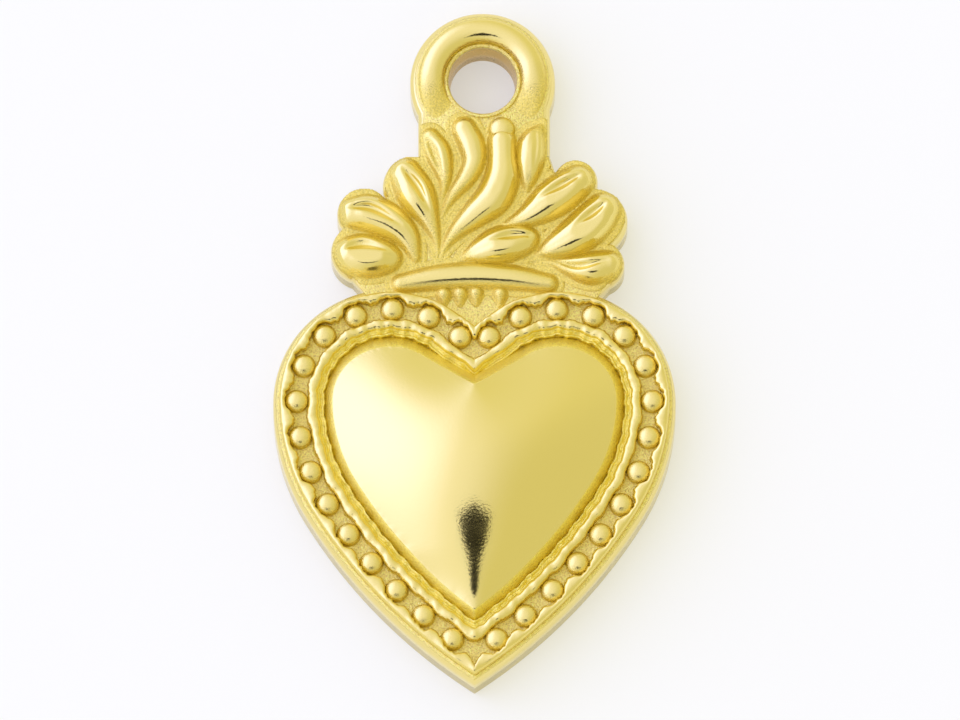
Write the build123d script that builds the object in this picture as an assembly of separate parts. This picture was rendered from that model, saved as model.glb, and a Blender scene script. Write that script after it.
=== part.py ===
from build123d import *
import math
import os

# Milagro charm: a puffed heart in a beaded border, under a crown of flames with a hanging loop.
# Millimetres. The charm lies on its flat back: +Z is the front, +Y points from heart to loop.

# Plates: heart, crown and loop are sawn from sheet of one thickness
plate_thickness = 1.5
shoulder_bevel = 0.27

# Heart outline: two lobe arcs, an upper flank arc each side, and a long arc to the tip
lobe_radius = 4.05
lobe_spread = 2.87
heart_depth = 10.0
flank_radius = 7.7
flank_turn = 31.4
notch_angle = 37.0

# Border, from the shoulder inwards: scalloped rim, beads in a channel, cord, fine step, groove
rim_web = 0.14
rim_swell = 0.18
rim_rise = 0.40
bead_radius = 0.38
bead_rise = 0.32
bead_gap = 0.02
bead_facets = 12
bead_section_angles = (0, 35, 65)
beads_a_side = 15
first_bead_reach = 0.62
last_bead_reach = 0.95
cord_width = 0.34
cord_rise = 0.36
step_gap = 0.05
step_width = 0.18
step_rise = 0.18
groove_width = 0.22
ridge_bevel = 0.3

# Puffed dome
dome_rise = 2.3
skirt_rise = 0.33
skirt_run = 0.30
dome_notch_angle = 30.0
dome_peak_drop = 2.2
dome_ring_shares = (1.0, 0.9, 0.78, 0.65, 0.5, 0.34, 0.18, 0.06)

# Band along the top of the heart, and the drops under it
band_half_width = 0.33
band_fullness = 0.95
band_lift = 0.06
band_bow = 0.27
band_reach = 2.72
drop_half_width = 0.14
drop_length = 0.46
drop_gap = 0.05
drop_places = (-1.06, -0.50, 0.05, 0.88)

# Flames
flame_fullness = 0.95
end_section_angles = (60, 30)
section_facets = 8
section_pitch = 1.2
least_half_width = 0.01
vein_width = 0.11
ball_radius = 0.36
ball_rise = 0.38
ball_gap = 0.02
notch_radius = 0.15
seam_margin = 1.0

# Hanging loop
loop_radius = 2.5
loop_offset = 0.28
bore_radius = 1.12
bore_flare = 0.18
hole_gap = 0.11
neck_width = 4.54
neck_offset = 0.33
collar_fullness = 0.95
collar_end_angle = 22.0
collar_steps = 12

# Derived places. The heart's lobe centres lie on y = 0 while drawing.
half_width = lobe_spread + lobe_radius
rim_inset = shoulder_bevel
bead_inset = rim_inset + rim_web + bead_gap + bead_radius
rim_inner_inset = rim_inset + rim_web + rim_swell
cord_inset = bead_inset + bead_radius + bead_gap
cord_inner_inset = cord_inset + cord_width
step_inset = cord_inner_inset + step_gap
step_inner_inset = step_inset + step_width
dome_inset = step_inner_inset + groove_width
band_end_y = lobe_radius + band_lift
band_top_y = band_end_y + band_bow
crown_y = band_top_y + band_half_width

# Flame spines, root to tip, as (x, y above the band, half width). A vein is a groove along the
# leaf, through three (share of its length, side) places, where side runs from -1 to 1 across it.
flames = {
    "left_bud": {
        "spine": [(-2.64, 0.30, 0.12), (-3.12, 0.38, 0.42), (-3.75, 0.44, 0.56), (-4.22, 0.50, 0.46)],
        "vein": [(0.30, -0.25), (0.65, -0.35), (1.0, -0.40)],
    },
    "left_low_leaf": {
        "spine": [(-2.02, 0.40, 0.12), (-2.31, 1.10, 0.26), (-2.87, 1.61, 0.34), (-3.62, 1.93, 0.40),
                  (-4.20, 1.97, 0.35)],
        "vein": [(0.45, -0.15), (0.72, -0.20), (1.0, -0.25)],
    },
    "left_mid_leaf": {
        "spine": [(-1.28, 0.42, 0), (-1.33, 1.04, 0.10), (-1.60, 1.84, 0.26), (-2.00, 2.61, 0.43),
                  (-2.36, 3.36, 0.38)],
        "vein": [(0.50, -0.35), (0.75, -0.35), (1.0, -0.30)],
    },
    "left_high_leaf": {
        "spine": [(-1.18, 2.35, 0), (-1.04, 3.00, 0.12), (-1.07, 3.54, 0.22), (-1.22, 4.12, 0.29),
                  (-1.42, 4.58, 0.22)],
        "vein": [(0.40, 0.25), (0.70, 0.35), (1.0, 0.35)],
    },
    "hooked_tongue": {
        "spine": [(-1.12, 1.75, 0), (-0.94, 2.26, 0.09), (-0.66, 2.71, 0.16), (-0.26, 3.24, 0.22),
                  (-0.03, 3.84, 0.27), (-0.10, 4.38, 0.31), (-0.33, 4.90, 0.28)],
    },
    "centre_stem": {
        "spine": [(-1.06, 0.45, 0), (-0.93, 0.86, 0.09), (-0.55, 1.39, 0.21), (0.02, 1.93, 0.33),
                  (0.65, 2.53, 0.43), (0.94, 3.24, 0.41), (0.96, 3.90, 0.34), (0.94, 4.24, 0.33)],
    },
    "right_blade": {
        "spine": [(1.80, 2.72, 0), (1.86, 3.30, 0.23), (1.90, 3.90, 0.34), (1.92, 4.46, 0.33),
                  (1.98, 4.90, 0.18)],
    },
    "right_high_leaf": {
        "spine": [(0.98, 1.58, 0), (1.26, 1.63, 0.10), (1.87, 1.90, 0.27), (2.61, 2.41, 0.43),
                  (3.25, 2.95, 0.44), (3.50, 3.18, 0.40)],
        "vein": [(0.55, -0.20), (0.78, -0.20), (1.0, -0.15)],
    },
    "almond_leaf": {
        "spine": [(-0.44, 0.40, 0), (0.19, 0.61, 0.29), (0.88, 0.82, 0.44), (1.50, 0.98, 0.38),
                  (1.80, 1.06, 0.26)],
        "vein": [(0.35, 0.20), (0.65, 0.25), (0.90, 0.20)],
    },
    "right_mid_leaf": {
        "spine": [(2.10, 0.48, 0), (2.81, 0.80, 0.27), (3.59, 1.25, 0.46), (4.11, 1.69, 0.47),
                  (4.40, 2.06, 0.42)],
        "vein": [(0.50, 0.10), (0.72, 0.10), (0.95, 0.10)],
    },
    "right_low_leaf": {
        "spine": [(2.30, 0.28, 0), (2.73, 0.20, 0.10), (3.30, 0.07, 0.24), (4.00, 0.00, 0.39),
                  (4.52, 0.13, 0.34)],
        "vein": [(0.40, 0.20), (0.70, -0.25), (1.0, 0.05)],
    },
}

# Crown plate edge behind the flames: each lobe is an arc through its far point to the next notch
left_foot = (-4.20, -0.32)
left_lobes = [((-4.93, 0.80), (-4.55, 1.49)), ((-4.70, 2.45), (-3.05, 2.76))]
left_top_lobe = (-2.84, 3.78)
right_foot = (4.65, -0.53)
right_lobes = [((5.16, 0.30), (4.83, 0.89)), ((5.12, 2.35), (4.20, 2.92)), ((3.98, 3.85), (2.78, 3.57))]
crown_height = 4.07

stem_tip = flames["centre_stem"]["spine"][-1]
ball_x = stem_tip[0]
ball_y = crown_y + stem_tip[1] + stem_tip[2] + ball_gap + ball_radius
neck_foot_y = crown_y + crown_height
loop_y = ball_y + ball_radius + hole_gap + bore_flare + bore_radius
middle_y = (loop_y + loop_radius - heart_depth) / 2


def polar(centre, radius, degrees):
    """Point at a distance and angle from a centre."""
    turn = math.radians(degrees)
    return (centre[0] + radius * math.cos(turn), centre[1] + radius * math.sin(turn))


def heart_half(inset, notch):
    """Right half of the heart outline, notch to tip: the straight run, then three arcs."""
    lobe_centre = (lobe_spread, 0)
    lobe = lobe_radius - inset
    lobe_start = polar(lobe_centre, lobe, 90 + notch)
    notch_point = (0, lobe_start[1] - lobe_start[0] * math.tan(math.radians(notch)))

    flank_centre = (half_width - flank_radius, 0)
    flank = flank_radius - inset
    outer_join = polar(flank_centre, flank_radius, -flank_turn)
    normal = polar((0, 0), 1, -flank_turn)
    chord = (-outer_join[0], -heart_depth - outer_join[1])
    inward = chord[0] * normal[0] + chord[1] * normal[1]
    run_radius = -(chord[0] ** 2 + chord[1] ** 2) / (2 * inward)
    run_centre = polar(outer_join, -run_radius, -flank_turn)
    run = run_radius - inset
    tip_angle = -math.degrees(math.acos(-run_centre[0] / run))

    return [
        (notch_point, lobe_start),
        (lobe_start, polar(lobe_centre, lobe, 45 + notch / 2), polar(lobe_centre, lobe, 0)),
        (polar(flank_centre, flank, 0), polar(flank_centre, flank, -flank_turn / 2),
         polar(flank_centre, flank, -flank_turn)),
        (polar(run_centre, run, -flank_turn), polar(run_centre, run, (tip_angle - flank_turn) / 2),
         polar(run_centre, run, tip_angle)),
    ]


def heart_edges(inset, notch=notch_angle, scale=1, z=0, side=1):
    """One side of the heart outline as edges, scaled about the dome's peak."""
    def place(point):
        return (side * scale * point[0], scale * (point[1] + dome_peak_drop) - dome_peak_drop, z)

    edges = []
    for points in heart_half(inset, notch):
        placed = [place(point) for point in points]
        edges.append(Line(*placed) if len(placed) == 2 else ThreePointArc(*placed))
    return edges


def heart_wire(inset, notch=notch_angle, scale=1, z=0):
    """Whole heart outline."""
    return Wire(heart_edges(inset, notch, scale, z) + heart_edges(inset, notch, scale, z, side=-1))


def heart_ring(outer, inner, rise, bevel):
    """Bevelled ridge along the heart outline, standing on the plate."""
    band = Face(heart_wire(outer, z=plate_thickness)) - Face(heart_wire(inner, z=plate_thickness))
    ridge = extrude(band, amount=rise, dir=(0, 0, 1))
    return chamfer(ridge.edges().group_by(Axis.Z)[-1], bevel * (inner - outer))


def bead_centres():
    """Bead places, right side from notch to tip, then the left side."""
    path = Wire(heart_edges(bead_inset))
    pitch = (path.length - first_bead_reach - last_bead_reach) / (beads_a_side - 1)
    places = []
    for index in range(beads_a_side):
        places.append(path.position_at(first_bead_reach + index * pitch, position_mode=PositionMode.LENGTH))
    return places + [Vector(-place.X, place.Y, place.Z) for place in places]


def bead_bays(rise):
    """Bays that the beads stand in, cut from the rim beside them."""
    bay = extrude(RegularPolygon(bead_radius + bead_gap, bead_facets), amount=rise)
    return [Pos(place.X, place.Y, plate_thickness) * bay for place in bead_centres()]


def domed_bead(radius, rise):
    """Round bead, faceted: lofted in three steps from its foot to its top."""
    sections = []
    for angle in bead_section_angles:
        turn = math.radians(angle)
        ring = RegularPolygon(radius * math.cos(turn), bead_facets)
        sections.append(Pos(0, 0, rise * math.sin(turn)) * ring.face().outer_wire())
    return Solid.make_loft(sections + [Vertex(0, 0, rise)], ruled=True)


def tongue_section(place, ahead, half_across, rise):
    """D-shaped section square to the spine: flat on the plate, faceted round above."""
    left = Vector(-ahead.Y, ahead.X).normalized() * half_across
    corners = []
    for step in range(section_facets + 1):
        turn = math.pi * step / section_facets
        corners.append(place + left * math.cos(turn) + Vector(0, 0, rise * math.sin(turn)))
    return Wire.make_polygon(corners, close=True)


def tongue_end(place, outward, half_across, fullness):
    """Rounded end beyond the last station: two shrinking sections, then a point."""
    outward = outward.normalized() * half_across
    sections = []
    for angle in end_section_angles:
        shrink = half_across * math.sin(math.radians(angle))
        centre = place + outward * math.cos(math.radians(angle))
        sections.append(tongue_section(centre, outward, shrink, fullness * shrink))
    return sections + [Vertex(place + outward)]


def tongue(stations, fullness):
    """Half-round tongue lofted along (x, y, half width) stations.

    An end with a width is rounded beyond its station, and an end of no width is a point.
    """
    spine = Spline(*stations)
    widest = max(half_across for x, y, half_across in stations)
    steps = math.ceil(spine.length / (section_pitch * widest))
    sections = []
    for step in range(steps + 1):
        station = spine.position_at(step * spine.length / steps, position_mode=PositionMode.LENGTH)
        heading = spine.tangent_at(step * spine.length / steps, position_mode=PositionMode.LENGTH)
        place = Vector(station.X, station.Y, plate_thickness)
        ahead = Vector(heading.X, heading.Y)
        half_across = station.Z
        pointed = half_across < least_half_width
        if pointed:
            sections.append(Vertex(place))
            continue
        section = tongue_section(place, ahead, half_across, fullness * half_across)
        if step == 0:
            sections += tongue_end(place, -ahead, half_across, fullness)[::-1]
        sections.append(section)
        if step == steps:
            sections += tongue_end(place, ahead, half_across, fullness)
    return Solid.make_loft(sections, ruled=True)


def leaf_surface(spine, share, side):
    """Point on top of a leaf, part of the way along it and off to one side."""
    station = spine.position_at(share * spine.length, position_mode=PositionMode.LENGTH)
    heading = spine.tangent_at(share * spine.length, position_mode=PositionMode.LENGTH)
    left = Vector(-heading.Y, heading.X).normalized()
    rise = flame_fullness * station.Z * math.sqrt(1 - side ** 2)
    return Vector(station.X, station.Y, plate_thickness + rise) + left * station.Z * side


def flame(name):
    """One flame, with its vein cut along it."""
    stations = [(x, crown_y + y, half_across) for x, y, half_across in flames[name]["spine"]]
    leaf = tongue(stations, flame_fullness)
    if "vein" in flames[name]:
        spine = Spline(*stations)
        path = ThreePointArc(*[leaf_surface(spine, share, side) for share, side in flames[name]["vein"]])
        start = Plane(path @ 0, z_dir=path % 0)
        leaf = leaf - sweep(start * Rot(0, 0, 45) * Rectangle(vein_width, vein_width), path=path)
    return leaf


def heart_plate():
    slab = extrude(Face(heart_wire(0)), amount=plate_thickness, dir=(0, 0, 1))
    return chamfer(slab.edges().group_by(Axis.Z)[-1], shoulder_bevel)


def heart_dome():
    """Steep skirt, then a puffed top whose cleft fades out towards the peak."""
    skirt_scale = 1 - skirt_run / (half_width - dome_inset)
    foot = heart_wire(dome_inset, dome_notch_angle, 1, plate_thickness)
    collar = heart_wire(dome_inset, dome_notch_angle, skirt_scale, plate_thickness + skirt_rise)
    skirt = Solid.make_loft([foot, collar], ruled=True)
    rings = []
    for share in dome_ring_shares:
        z = plate_thickness + skirt_rise + (dome_rise - skirt_rise) * (1 - share ** 2)
        rings.append(heart_wire(dome_inset, dome_notch_angle * share, skirt_scale * share, z))
    return skirt + Solid.make_loft(rings, ruled=True)


def crown_plate():
    """Scalloped plate behind the flames, fitted to the heart below and the neck above."""
    def place(point):
        return (point[0], crown_y + point[1])

    neck_left = (neck_offset - neck_width / 2, crown_height)
    neck_right = (neck_offset + neck_width / 2, crown_height)
    above_left = (neck_left[0], crown_height + seam_margin)
    above_right = (neck_right[0], crown_height + seam_margin)
    heart_middle = (0, -crown_y)
    edges = []
    notches = []
    for foot, lobes in ((left_foot, left_lobes + [(left_top_lobe, neck_left)]), (right_foot, right_lobes)):
        edges.append(Line(place(heart_middle), place(foot)))
        corner = foot
        for far_point, notch_point in lobes:
            edges.append(ThreePointArc(place(corner), place(far_point), place(notch_point)))
            notches.append(Vector(*place(notch_point)))
            corner = notch_point
    edges.append(Line(place(neck_left), place(above_left)))
    edges.append(Line(place(above_left), place(above_right)))
    edges.append(Line(place(above_right), place(neck_right)))
    edges.append(Line(place(neck_right), place(corner)))
    outline = Face(Wire(edges))
    corners = [vertex for vertex in outline.vertices() if Vector(vertex) in notches]
    blank = extrude(outline.fillet_2d(notch_radius, corners), amount=plate_thickness, dir=(0, 0, 1))
    blank = chamfer(blank.edges().group_by(Axis.Z)[-1], shoulder_bevel)
    blank = split(blank, Plane.XZ.offset(-neck_foot_y), keep=Keep.TOP)
    return blank - extrude(Face(heart_wire(0)), amount=plate_thickness, dir=(0, 0, 1))


def hanging_loop():
    """Ring and neck in one piece, with a flared bore."""
    neck_run = loop_y - neck_foot_y + seam_margin
    neck = Pos(neck_offset, loop_y - neck_run / 2) * Rectangle(neck_width, neck_run)
    blank = extrude(Pos(loop_offset, loop_y) * Circle(loop_radius) + neck, amount=plate_thickness)
    blank = chamfer(blank.edges().group_by(Axis.Z)[-1], shoulder_bevel)
    blank = split(blank, Plane.XZ.offset(-neck_foot_y), keep=Keep.BOTTOM)
    mouth_z = plate_thickness - bore_flare
    with BuildPart() as bore:
        with BuildSketch(Plane.XZ):
            with BuildLine():
                Line((0, 0), (bore_radius, 0))
                Line((bore_radius, 0), (bore_radius, mouth_z))
                Line((bore_radius, mouth_z), (bore_radius + bore_flare, plate_thickness))
                Line((bore_radius + bore_flare, plate_thickness), (0, plate_thickness))
                Line((0, plate_thickness), (0, 0))
            make_face()
        revolve(axis=Axis.Z)
    return blank - Pos(loop_offset, loop_y) * bore.part


def loop_collar():
    """Half-round bead round the hole, open towards the neck, with rounded ends."""
    inner = bore_radius + bore_flare
    outer = loop_radius - shoulder_bevel
    stations = []
    for step in range(collar_steps + 1):
        angle = -collar_end_angle + (180 + 2 * collar_end_angle) * step / collar_steps
        x, y = polar((loop_offset, loop_y), (inner + outer) / 2, angle)
        stations.append((x, y, (outer - inner) / 2))
    return tongue(stations, collar_fullness)


def crown_band():
    """Plain bowed band along the top of the heart."""
    stations = []
    for share in (-1, -0.5, 0, 0.5, 1):
        stations.append((share * band_reach, band_top_y - band_bow * share ** 2, band_half_width))
    return tongue(stations, band_fullness)


def band_drop(x):
    """Drop hanging under the band, wide at the top."""
    top = band_top_y - band_bow * (x / band_reach) ** 2 - band_half_width - drop_gap
    head_y = top - drop_half_width
    return tongue([(x, head_y, drop_half_width), (x, top - drop_length, 0)], band_fullness)


def border_beads():
    """Every bead of the border as its own solid, numbered from the notch."""
    bead = domed_bead(bead_radius, bead_rise)
    beads = {}
    for number, place in enumerate(bead_centres(), start=1):
        beads[f"border_bead_{number:02d}"] = Pos(place.X, place.Y, plate_thickness) * bead
    return beads


pieces = {
    "heart_plate": heart_plate(),
    "outer_rim": heart_ring(rim_inset, rim_inner_inset, rim_rise, ridge_bevel) - bead_bays(rim_rise),
    "inner_cord": heart_ring(cord_inset, cord_inner_inset, cord_rise, ridge_bevel),
    "inner_step": heart_ring(step_inset, step_inner_inset, step_rise, ridge_bevel),
    "heart_dome": heart_dome(),
    "crown_plate": crown_plate(),
    "hanging_loop": hanging_loop(),
    "loop_collar": loop_collar(),
    "crown_band": crown_band(),
    "stem_ball": Pos(ball_x, ball_y, plate_thickness) * domed_bead(ball_radius, ball_rise),
}
pieces.update(border_beads())
for number, x in enumerate(drop_places, start=1):
    pieces[f"band_drop_{number}"] = band_drop(x)
for name in flames:
    pieces[name] = flame(name)

os.makedirs("parts", exist_ok=True)
for name, piece in pieces.items():
    export_step(Pos(0, -middle_y) * piece, f"parts/{name}.step")
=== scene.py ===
import math

import bpy
import numpy as np
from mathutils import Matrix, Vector
from mathutils.geometry import tessellate_polygon


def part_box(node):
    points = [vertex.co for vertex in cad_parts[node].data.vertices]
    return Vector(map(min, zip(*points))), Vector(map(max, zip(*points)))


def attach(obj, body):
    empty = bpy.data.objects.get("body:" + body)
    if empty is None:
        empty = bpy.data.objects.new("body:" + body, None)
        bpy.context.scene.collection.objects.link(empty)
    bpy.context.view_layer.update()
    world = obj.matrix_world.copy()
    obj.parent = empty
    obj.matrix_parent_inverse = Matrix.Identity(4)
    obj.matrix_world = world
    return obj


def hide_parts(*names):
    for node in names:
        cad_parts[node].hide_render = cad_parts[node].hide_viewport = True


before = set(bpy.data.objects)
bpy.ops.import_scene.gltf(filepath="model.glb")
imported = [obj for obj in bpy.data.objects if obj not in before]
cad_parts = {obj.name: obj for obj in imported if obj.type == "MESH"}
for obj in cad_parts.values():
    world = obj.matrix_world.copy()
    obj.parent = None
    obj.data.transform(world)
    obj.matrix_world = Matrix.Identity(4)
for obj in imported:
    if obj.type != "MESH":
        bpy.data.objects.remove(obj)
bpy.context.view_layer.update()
mm = 0.001


def boxMm(node):
    low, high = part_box(node)
    return np.array(low) / mm, np.array(high) / mm


def smoothStep(value, start, end):
    share = np.clip((value - start) / (end - start), 0, 1)
    return share * share * (3 - 2 * share)


# Materials: gold-plated casting, procedural, pattern sizes in millimetres of the object

def linear(hexCode):
    channels = [int(hexCode[i:i + 2], 16) / 255 for i in (0, 2, 4)]
    return [c / 12.92 if c <= 0.04045 else ((c + 0.055) / 1.055) ** 2.4 for c in channels] + [1]


def addNode(tree, kind, values=None, **settings):
    node = tree.nodes.new("ShaderNode" + kind)
    for name, setting in settings.items():
        setattr(node, name, setting)
    for socket, value in (values or {}).items():
        if isinstance(value, bpy.types.NodeSocket):
            tree.links.new(value, node.inputs[socket])
        else:
            node.inputs[socket].default_value = value
    return node


def perMetre(sizeMm):
    return 1 / (sizeMm * mm)


noiseSpan = {"From Min": 0.3, "From Max": 0.7}  # where nearly all of a noise's values lie


def goldMaterial(look):
    material = bpy.data.materials.new(look["name"])
    material.use_nodes = True
    tree = material.node_tree
    tree.nodes.clear()
    place = addNode(tree, "TexCoord").outputs["Object"]
    height = addNode(tree, "SeparateXYZ", {0: place}).outputs["Z"]
    floorShare = addNode(tree, "MapRange", {
        "Value": height, "From Min": look["grainFrom"] * mm, "From Max": look["grainFull"] * mm,
        "To Min": look["leastGrain"], "To Max": 1.0}, interpolation_type="SMOOTHSTEP")
    wallShare = addNode(tree, "MapRange", {
        "Value": height, "From Min": look["wallTop"] * mm, "From Max": look["floorLevel"] * mm},
        interpolation_type="SMOOTHSTEP")
    grainShare = addNode(tree, "Math", {0: floorShare.outputs[0], 1: wallShare.outputs[0]},
                         operation="MULTIPLY").outputs[0]
    grain = addNode(tree, "TexNoise", {
        "Vector": place, "Scale": perMetre(look["grainSize"]), "Detail": 3.0,
        "Roughness": 0.6}).outputs["Fac"]
    patches = addNode(tree, "TexNoise", {
        "Vector": place, "Scale": perMetre(look["patchSize"]), "Detail": 4.0}).outputs["Fac"]
    haze = addNode(tree, "TexNoise", {
        "Vector": place, "Scale": perMetre(look["hazeSize"]), "Detail": 2.0}).outputs["Fac"]
    tone = addNode(tree, "Mix", {0: grainShare, 6: linear(look["crest"]), 7: linear(look["floor"])},
                   data_type="RGBA").outputs[2]
    speckle = addNode(tree, "MapRange", {"Value": grain, **noiseSpan, "To Min": -1.0,
                                         "To Max": 1.0}).outputs[0]
    speckleDepth = addNode(tree, "Math", {0: grainShare, 1: look["speckle"]},
                           operation="MULTIPLY").outputs[0]
    shade = addNode(tree, "Math", {0: speckle, 1: speckleDepth, 2: 1.0},
                    operation="MULTIPLY_ADD").outputs[0]
    colour = addNode(tree, "Mix", {0: 1.0, 6: tone, 7: shade}, data_type="RGBA",
                     blend_type="MULTIPLY").outputs[2]
    polish = addNode(tree, "MapRange", {"Value": patches, **noiseSpan, "To Min": look["polish"][0],
                                        "To Max": look["polish"][1]}).outputs[0]
    roughness = addNode(tree, "Mix", {0: grainShare, 2: polish, 3: look["floorRoughness"]}).outputs[0]
    hazeBump = addNode(tree, "Bump", {"Height": haze, "Strength": 1.0, "Distance": look["hazeDepth"] * mm})
    grainDepth = addNode(tree, "Math", {0: grain, 1: grainShare}, operation="MULTIPLY").outputs[0]
    grainBump = addNode(tree, "Bump", {"Height": grainDepth, "Strength": 1.0,
                                       "Distance": look["grainDepth"] * mm, "Normal": hazeBump.outputs[0]})
    surface = addNode(tree, "BsdfPrincipled", {
        "Base Color": colour, "Metallic": 1.0, "Roughness": roughness, "Normal": grainBump.outputs[0]})
    output = addNode(tree, "OutputMaterial")
    tree.links.new(surface.outputs[0], output.inputs[0])
    return material


floorLevel = boxMm("heart_plate")[1][2]
goldPlatePolished = goldMaterial({  # warm satin sheen on the raised relief, sandier in its feet
    "name": "goldPlatePolished", "crest": "EEDB80", "floor": "EAD364", "grainFrom": floorLevel + 0.40,
    "grainFull": floorLevel + 0.08, "leastGrain": 0.0, "wallTop": 0.0, "floorLevel": 0.01,
    "grainSize": 0.055, "patchSize": 0.7, "hazeSize": 0.085, "hazeDepth": 0.0036, "grainDepth": 0.04,
    "speckle": 0.24, "polish": (0.10, 0.15), "floorRoughness": 0.30})
sandCast = {
    "name": "goldPlateSandCast", "crest": "F2E090", "floor": "FBE57C", "grainFrom": floorLevel + 0.5,
    "grainFull": floorLevel + 0.4, "leastGrain": 1.0, "wallTop": floorLevel - 0.10,
    "floorLevel": floorLevel - 0.01, "grainSize": 0.055, "patchSize": 0.7, "hazeSize": 0.16,
    "hazeDepth": 0.0020, "grainDepth": 0.055, "speckle": 0.32, "polish": (0.16, 0.24),
    "floorRoughness": 0.36}
goldPlateSandCast = goldMaterial(sandCast)  # sparkling sand-cast grain in the recesses, satin edge walls
goldPlateFiled = goldMaterial({**sandCast, "name": "goldPlateFiled", "floor": "F9E56E", "grainDepth": 0.035,
                               "speckle": 0.2})  # deeper yellow of the filed slope round the dome
goldPlateBoreShaded = goldMaterial({**sandCast, "name": "goldPlateBoreShaded", "crest": "D4B056",
                              "polish": (0.24, 0.32)})  # duller roughness inside the hole, and a darker gold there that is painted shade
slots = {"polished_relief": goldPlatePolished, "grained_plate": goldPlateSandCast}
print("materials ready")


# Mesh helpers, all in millimetres of the row frame

def makePiece(node, points, faces, slot, sharpAngle=55):
    mesh = bpy.data.meshes.new(node)
    mesh.from_pydata((np.asarray(points, float) * mm).tolist(), [], faces)
    mesh.validate()
    mesh.update()
    mesh.polygons.foreach_set("use_smooth", [True] * len(mesh.polygons))
    mesh.set_sharp_from_angle(angle=math.radians(sharpAngle))
    mesh.materials.append(slots[slot])
    first, *rest = node.split("_")
    piece = bpy.data.objects.new(first + "".join(word.capitalize() for word in rest), mesh)
    bpy.context.scene.collection.objects.link(piece)
    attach(piece, "root")
    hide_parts(node)
    return piece


def bandFaces(rings, size, closeRings=False, closeAround=True):
    faces = []
    for ring in range(rings if closeRings else rings - 1):
        below = ring * size
        above = ((ring + 1) % rings) * size
        for i in range(size if closeAround else size - 1):
            j = (i + 1) % size
            faces.append((below + i, below + j, above + j, above + i))
    return faces


def fillFaces(loops, starts, flip):
    flat = [[Vector((x, y, 0)) for x, y in loop] for loop in loops]
    joined = np.concatenate([np.asarray(loop) for loop in loops])
    index = []
    for loop, start in zip(loops, starts):
        index += range(start, start + len(loop))
    faces = []
    for triangle in tessellate_polygon(flat):
        a, b, c = [index[i] for i in triangle]
        p, q, r = [joined[i] for i in triangle]
        turn = (q[0] - p[0]) * (r[1] - p[1]) - (q[1] - p[1]) * (r[0] - p[0])
        faces.append((a, b, c) if (turn > 0) != flip else (a, c, b))
    return faces


def lathe(node, profile, centre, around, slot):
    turns = np.arange(around) * 2 * math.pi / around
    points = []
    for radius, z in profile:
        ring = np.stack([centre[0] + radius * np.cos(turns), centre[1] + radius * np.sin(turns),
                         np.full(around, z)], axis=1)
        points.append(ring)
    faces = bandFaces(len(profile), around)
    top = len(profile) * around
    points = np.concatenate(points + [np.array([[*centre, profile[-1][1]]])])
    last = top - around
    for i in range(around):
        faces.append((last + i, last + (i + 1) % around, top))
    faces.append(tuple(range(around))[::-1])
    return makePiece(node, points, faces, slot)


def smoothLine(stations, steps):
    stations = np.asarray(stations, float)
    reach = np.concatenate([[0], np.cumsum(np.linalg.norm(np.diff(stations[:, :2], axis=0), axis=1))])
    padded = np.vstack([2 * stations[0] - stations[1], stations, 2 * stations[-1] - stations[-2]])
    line = []
    for share in np.linspace(0, reach[-1], steps):
        i = min(np.searchsorted(reach, share, side="right"), len(reach) - 1)
        t = (share - reach[i - 1]) / (reach[i] - reach[i - 1])
        a, b, c, d = padded[i - 1:i + 3]
        line.append(0.5 * (2 * b + (c - a) * t + (2 * a - 5 * b + 4 * c - d) * t * t
                           + (3 * b - a - 3 * c + d) * t ** 3))
    return np.array(line)


leastWidth = 0.02  # keeps the shares across a line finite at its ends


def lineField(points, line):
    start = line[:-1]
    step = line[1:] - start
    lengths = np.maximum((step[:, :2] ** 2).sum(1), 1e-9)
    offset = points[:, None, :] - start[None, :, :2]
    share = np.clip((offset * step[None, :, :2]).sum(2) / lengths, 0, 1)
    gap = offset - share[..., None] * step[None, :, :2]
    away = np.sqrt((gap ** 2).sum(2))
    width = start[None, :, 2] + share * step[None, :, 2]
    best = np.argmin(away - width, axis=1)
    rows = np.arange(len(points))
    return away[rows, best], np.maximum(width[rows, best], leastWidth)


patch = {"passes": 11, "hem": 0.03, "root": 0.30}  # smoothing, and how far edge and foot go under the floor


def patchSolid(node, low, high, pitch, heightOf, floor, slot):
    across = np.arange(low[0], high[0] + pitch, pitch)
    up = np.arange(low[1], high[1] + pitch, pitch)
    gridX, gridY = np.meshgrid(across, up, indexing="ij")
    flat = np.stack([gridX.ravel(), gridY.ravel()], axis=1)
    height, inside = heightOf(flat)
    keep = inside.reshape(gridX.shape)
    height = np.where(inside, height, 0).reshape(gridX.shape)
    for smoothing in range(patch["passes"]):
        spread = np.pad(height, 1, mode="edge")
        beside = spread[:-2, 1:-1] + spread[2:, 1:-1] + spread[1:-1, :-2] + spread[1:-1, 2:]
        height = (beside + 2 * height) / 6
    top = np.where(inside, floor + height.ravel(), floor - patch["hem"])
    cells = keep[:-1, :-1] | keep[1:, :-1] | keep[:-1, 1:] | keep[1:, 1:]
    number = np.arange(flat.shape[0]).reshape(gridX.shape)
    corners = np.stack([number[:-1, :-1], number[1:, :-1], number[1:, 1:], number[:-1, 1:]], axis=-1)[cells]
    used = np.unique(corners)
    renumber = np.full(flat.shape[0], -1)
    renumber[used] = np.arange(len(used))
    quads = renumber[corners]
    count = len(used)
    upper = np.column_stack([flat[used], top[used]])
    lower = np.column_stack([flat[used], np.full(count, floor - patch["root"])])
    faces = [tuple(q) for q in quads.tolist()]
    faces += [(q[0] + count, q[3] + count, q[2] + count, q[1] + count) for q in quads.tolist()]
    edges = np.concatenate([quads[:, [i, (i + 1) % 4]] for i in range(4)])
    directed = {tuple(e) for e in edges.tolist()}
    for a, b in directed:
        if (b, a) not in directed:
            faces.append((b, a, a + count, b + count))
    return makePiece(node, np.concatenate([upper, lower]), faces, slot)


# Heart outline at any inset, as in the CAD: a run from the notch, lobe, flank and run to the tip

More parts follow.
